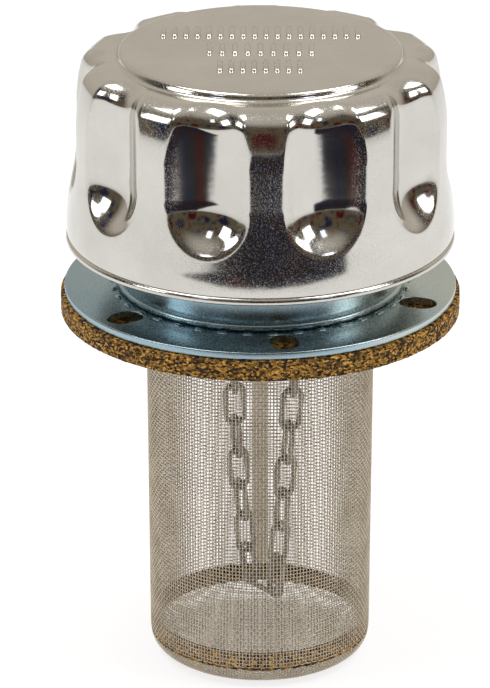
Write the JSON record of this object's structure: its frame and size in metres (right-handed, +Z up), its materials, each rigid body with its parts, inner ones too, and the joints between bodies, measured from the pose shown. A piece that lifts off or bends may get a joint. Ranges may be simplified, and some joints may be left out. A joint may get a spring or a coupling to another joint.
{
  "type": "filler breather cap",
  "caption": "Filler and breather cap for a fluid tank: fluted cap on a bayonet collar, slotted flange with cork gasket, and a mesh strainer basket with a chain hung inside it.",
  "frame": {"origin": "centre of the strainer basket's underside, the lowest point", "axes": "+Z up along the cap's axis, from the basket towards the cap's top; +X and +Y lie in the flange's plane"},
  "size_m": [0.0848, 0.0848, 0.1356],
  "materials": {
    "chrome_shell": "bright nickel-chrome plate, mirror polish, slightly warm",
    "zinc_plate": "bright zinc plate with a faint blue-green passivation tint",
    "plain_steel": "plain drawn steel, satin",
    "strainer_mesh": "woven stainless wire, plain weave",
    "cork": "agglomerated cork, brown granules with dark binder",
    "filter_foam": "open-cell filter foam, dark grey"
  },
  "bodies": {
    "root": {"flange_plate": "zinc_plate", "collar": "zinc_plate", "flange_gasket": "cork", "basket_rim": "plain_steel", "basket_wall": "strainer_mesh", "basket_floor": "strainer_mesh", "basket_seam": "plain_steel", "basket_cork_ring": "cork"},
    "swivel": {"swivel_eye": "zinc_plate", "swivel_bush": "zinc_plate"},
    "cap": {"cap_shell": "chrome_shell", "cap_inner_pan": "plain_steel", "breather_element": "filter_foam", "bayonet_spider": "zinc_plate", "spacer_sleeve": "zinc_plate", "spindle_rivet": "zinc_plate", "cap_spring": "plain_steel"},
    "seal": {"seal_plate": "plain_steel", "cap_seal": "cork"},
    "chain": {"chain_link_01": "plain_steel", "chain_link_02": "plain_steel", "chain_link_03": "plain_steel", "chain_link_04": "plain_steel", "chain_link_05": "plain_steel", "chain_link_06": "plain_steel", "chain_link_07": "plain_steel", "chain_link_08": "plain_steel", "chain_link_09": "plain_steel", "chain_link_10": "plain_steel", "chain_link_11": "plain_steel", "chain_link_12": "plain_steel", "chain_link_13": "plain_steel", "chain_link_14": "plain_steel", "chain_link_15": "plain_steel", "chain_link_16": "plain_steel", "chain_link_17": "plain_steel", "chain_link_18": "plain_steel", "chain_link_19": "plain_steel"}
  },
  "joints": [
    {"name": "cap_lift", "type": "slide", "parent": "root", "child": "swivel", "axis": [0, 0, 1], "range_m": [0, 0.09]},
    {"name": "cap_turn", "type": "hinge", "parent": "swivel", "child": "cap", "pos_m": [0, 0, 0.0955], "axis": [0, 0, -1], "range_deg": [0, 75]},
    {"name": "seal_travel", "type": "slide", "parent": "cap", "child": "seal", "axis": [0, 0, 1], "range_m": [0, 0.0015], "deforming": ["cap_spring"]},
    {"name": "chain_swing", "type": "hinge", "parent": "swivel", "child": "chain", "pos_m": [0, 0, 0.08075], "axis": [1, 0, 0], "range_deg": [-12, 12]}
  ]
}
